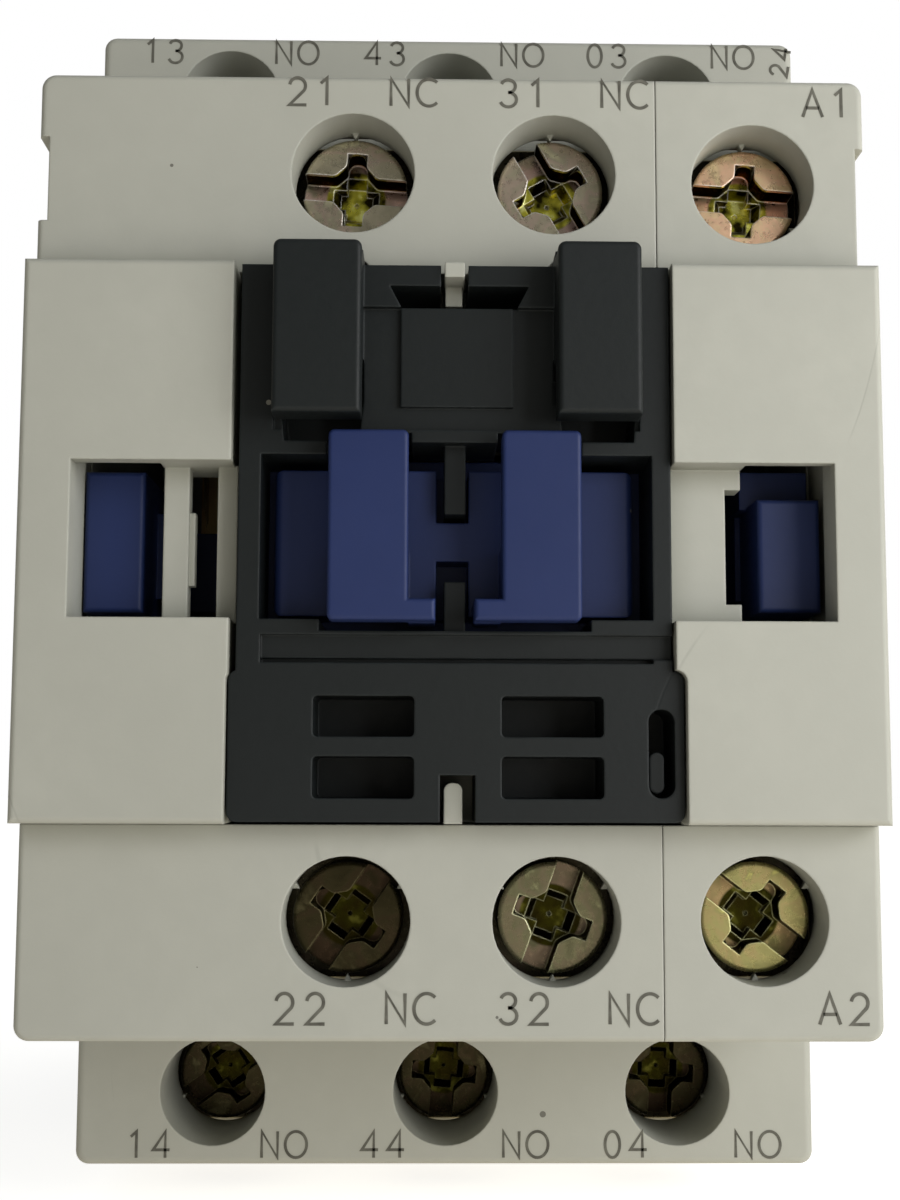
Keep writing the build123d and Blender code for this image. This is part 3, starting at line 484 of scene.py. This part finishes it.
# Each row: its tier's face, its baseline in mm, how it is turned in degrees and the height of its characters,
# then each text with its screw column and its distance from that column's middle in mm
LABEL_ROWS = [
    ("marks_make_top", back_face, 33.95, 0, CAPITAL,
     [("13", "13", -4.4), ("NO", "13", 4.3), ("43", "43", -4.2), ("NO", "43", 4.8), ("03", "03", -3.9),
      ("NO", "03", 4.4)]),
    ("marks_make_side", back_face, 34.35, 80, SMALL_CAPITAL, [("24", "03", 8.1)]),
    ("marks_make_bottom", back_face, -35.3, 0, CAPITAL,
     [("14", "13", -3.8), ("NO", "13", 4.4), ("44", "43", -3.8), ("NO", "43", 4.9), ("04", "03", -3.2),
      ("NO", "03", 4.9)]),
    ("marks_break_top", middle_face, 24.2, 0, CAPITAL,
     [("21", "21", -2.5), ("NC", "21", 3.3), ("31", "31", -1.9), ("NC", "31", 3.9)]),
    ("marks_break_bottom", middle_face, -24.95, 0, CAPITAL,
     [("22", "21", -2.3), ("NC", "21", 3.4), ("32", "31", -1.7), ("NC", "31", 4.0)]),
    ("marks_coil_top", middle_face, 23.8, 0, CAPITAL, [("A1", "a1", 3.9)]),
    ("marks_coil_bottom", middle_face, -24.95, 0, CAPITAL, [("A2", "a1", 4.05)]),
]
for name, face, baseline, turn, height, texts in LABEL_ROWS:
    labels = [(text, columns[column] + away * MM) for text, column, away in texts]
    marking(name, face, baseline * MM, math.radians(turn), height, labels)


# ---------------------------------------------------------------- springs

Y_AXIS, Z_AXIS = 1, 2
LOW_END, HIGH_END = 0, 1
AROUND = 28         # steps of a coil in one turn
SIDES = 8           # sides of its wire


def coil(bm, centre, axis, span, radius, wire, turns):
    """The closed wire of a coil spring along Y or Z, with a flat turn at each end."""
    low, high = span[0] + wire / 2, span[1] - wire / 2
    flat = 1.05 * wire
    steps = round(turns * AROUND)
    rows = []
    for i in range(steps + 1):
        turn = turns * i / steps
        if turn < 1:
            rise = low + flat * turn
        elif turn > turns - 1:
            rise = high - flat * (turns - turn)
        else:
            rise = low + flat + (high - low - 2 * flat) * (turn - 1) / (turns - 2)
        angle = 2 * math.pi * turn
        row = []
        for k in range(SIDES):
            side = 2 * math.pi * k / SIDES
            reach = radius + wire / 2 * math.cos(side)
            along = rise + wire / 2 * math.sin(side)
            first, second = reach * math.cos(angle), reach * math.sin(angle)
            if axis == Y_AXIS:
                place = (centre[0] + first, along, centre[2] + second)
            else:
                place = (centre[0] + first, centre[1] + second, along)
            row.append(bm.verts.new(place))
        rows.append(row)
    for a, b in zip(rows, rows[1:]):
        for k in range(SIDES):
            after = (k + 1) % SIDES
            bm.faces.new((a[k], a[after], b[after], b[k]))
    bm.faces.new(rows[0])
    bm.faces.new(rows[-1])


def springs(name, node, body, axis, outer, centres, wire, turns, fixed_end):
    """The springs of one node, each of an outer radius round its centre, with an anchor at their fixed end."""
    low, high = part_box(node)
    span = (low[axis], high[axis])
    bm = bmesh.new()
    for centre in centres:
        coil(bm, centre, axis, span, outer - wire / 2, wire, turns)
    piece = new_piece(name, bm, MATERIALS["spring_steel"])
    for face in piece.data.polygons:
        face.use_smooth = len(face.vertices) == 4
    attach(piece, body)
    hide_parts(node)
    anchor = Vector(centres[0])
    anchor[axis] = span[fixed_end]
    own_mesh(piece)


RETURN_OUTER = 2.7 * MM
return_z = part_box("return_springs")[1].z - RETURN_OUTER
springs("return_spring_coils", "return_springs", "housing", Y_AXIS, RETURN_OUTER,
        [(0, 0, -return_z), (0, 0, return_z)], 0.6 * MM, 7, HIGH_END)
pole_x = [middle_x("make_bridge_" + pole) for pole in ("left", "centre", "right")]
make_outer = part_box("make_springs")[1].x - pole_x[-1]
springs("make_spring_coils", "make_springs", "carrier", Y_AXIS, make_outer,
        [(x, 0, 0) for x in pole_x], 0.45 * MM, 5, LOW_END)
foot_low, foot_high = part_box("din_foot_spring")
foot_middle = (foot_low + foot_high) / 2
springs("foot_spring_coil", "din_foot_spring", "rail_foot", Z_AXIS,
        (foot_high.x - foot_low.x) / 2, [tuple(foot_middle)], 0.35 * MM, 8, HIGH_END)


# ---------------------------------------------------------------- stage, light, camera

FLOOR_GAP = 0.3 * MM        # below the part
FLOOR_HALF = 2.0            # metres
FLOOR_SEEN = (0.75, 0.75, 0.75)
GLOW_REACH = 0.08           # the floor's glow changes between this far left and right of the part's middle
GLOW_LEFT = (0.22, 0.19, 0.145)
GLOW_RIGHT = (0.66, 0.57, 0.43)
KEY_PLACE = (0.15, -0.205, 0.015)
KEY_TARGET = (0, -0.05, 0)
KEY_SIZE = 0.16
KEY_POWER = 0.38
ROOM_COLOR = (1.0, 1.0, 0.95, 1.0)
ROOM_BASE = 0.315
# How much the room gains towards each way: right, above, front
ROOM_SIDES = (((1, 0, 0), 0.20), ((0, 0, 1), 0.04), ((0, -1, 0), -0.10))
LENS = 49.49                # mm, for a picture 36 mm wide
CAMERA_PLACE = (-1.52 * MM, -166.24 * MM, -12.36 * MM)
CAMERA_TURN = (96.172, -0.186, -0.96)   # degrees


def add_floor():
    """A wide floor under the part. The camera sees it pale and plain, but the light it sends to everything
    else is a warm glow, stronger on the right."""
    low = cad_bounds[0][2] - FLOOR_GAP
    half = FLOOR_HALF
    mesh = bpy.data.meshes.new("floor")
    corners = [(-half, -half, low), (half, -half, low), (half, half, low), (-half, half, low)]
    mesh.from_pydata(corners, [], [(0, 1, 2, 3)])
    floor = bpy.data.objects.new("floor", mesh)
    bpy.context.scene.collection.objects.link(floor)
    s = Shader("pale_floor", 0.9, specular=0.1)
    across = s.range(s.separate()[0], -GLOW_REACH, GLOW_REACH)
    glow = s.ramp(across, (0.0, GLOW_LEFT), (1.0, GLOW_RIGHT))
    seen = s.node("ShaderNodeLightPath").outputs["Is Camera Ray"]
    s.feed(s.bsdf.inputs["Emission Color"], s.mix(seen, glow, FLOOR_SEEN))
    s.bsdf.inputs["Emission Strength"].default_value = 1.0
    cloud = s.noise(6, 2.0)
    s.feed(s.bsdf.inputs["Base Color"], s.ramp(cloud, (0.3, (0.86, 0.86, 0.86)), (0.7, (0.9, 0.9, 0.9))))
    mesh.materials.append(s.material)


def add_key():
    """A soft square light in front of the part, to the right."""
    data = bpy.data.lights.new("key", "AREA")
    data.size = KEY_SIZE
    data.energy = KEY_POWER
    lamp = bpy.data.objects.new("key", data)
    lamp.location = KEY_PLACE
    lamp.rotation_euler = (Vector(KEY_TARGET) - Vector(KEY_PLACE)).to_track_quat("-Z", "Y").to_euler()
    bpy.context.scene.collection.objects.link(lamp)


def add_world():
    """White behind the part, and a soft dim room around it: brighter above and to the right, darker in
    front."""
    world = bpy.data.worlds.new("studio")
    world.use_nodes = True
    tree = world.node_tree
    seen = tree.nodes["Background"]
    seen.inputs["Color"].default_value = (1.0, 1.0, 1.0, 1.0)
    room = tree.nodes.new("ShaderNodeBackground")
    room.inputs["Color"].default_value = ROOM_COLOR
    way = tree.nodes.new("ShaderNodeTexCoord").outputs["Generated"]
    lit = None
    for side, strength in ROOM_SIDES:
        toward = tree.nodes.new("ShaderNodeVectorMath")
        toward.operation = "DOT_PRODUCT"
        toward.inputs[1].default_value = side
        tree.links.new(way, toward.inputs[0])
        part = tree.nodes.new("ShaderNodeMath")
        part.operation = "MULTIPLY_ADD"
        part.use_clamp = True
        tree.links.new(toward.outputs["Value"], part.inputs[0])
        part.inputs[1].default_value = strength
        if lit is None:
            part.inputs[2].default_value = ROOM_BASE
        else:
            tree.links.new(lit, part.inputs[2])
        lit = part.outputs[0]
    tree.links.new(lit, room.inputs["Strength"])
    choose = tree.nodes.new("ShaderNodeMixShader")
    path = tree.nodes.new("ShaderNodeLightPath")
    tree.links.new(path.outputs["Is Camera Ray"], choose.inputs["Fac"])
    tree.links.new(room.outputs["Background"], choose.inputs[1])
    tree.links.new(seen.outputs["Background"], choose.inputs[2])
    tree.links.new(choose.outputs["Shader"], tree.nodes["World Output"].inputs["Surface"])
    bpy.context.scene.world = world


def add_camera():
    data = bpy.data.cameras.new("camera")
    data.lens = LENS
    data.sensor_width = 36.0
    data.clip_start = 0.01
    camera = bpy.data.objects.new("camera", data)
    camera.location = CAMERA_PLACE
    camera.rotation_euler = [math.radians(angle) for angle in CAMERA_TURN]
    bpy.context.scene.collection.objects.link(camera)
    bpy.context.scene.camera = camera


add_floor()
add_world()
add_camera()
add_key()
bpy.context.scene.view_settings.view_transform = "Standard"
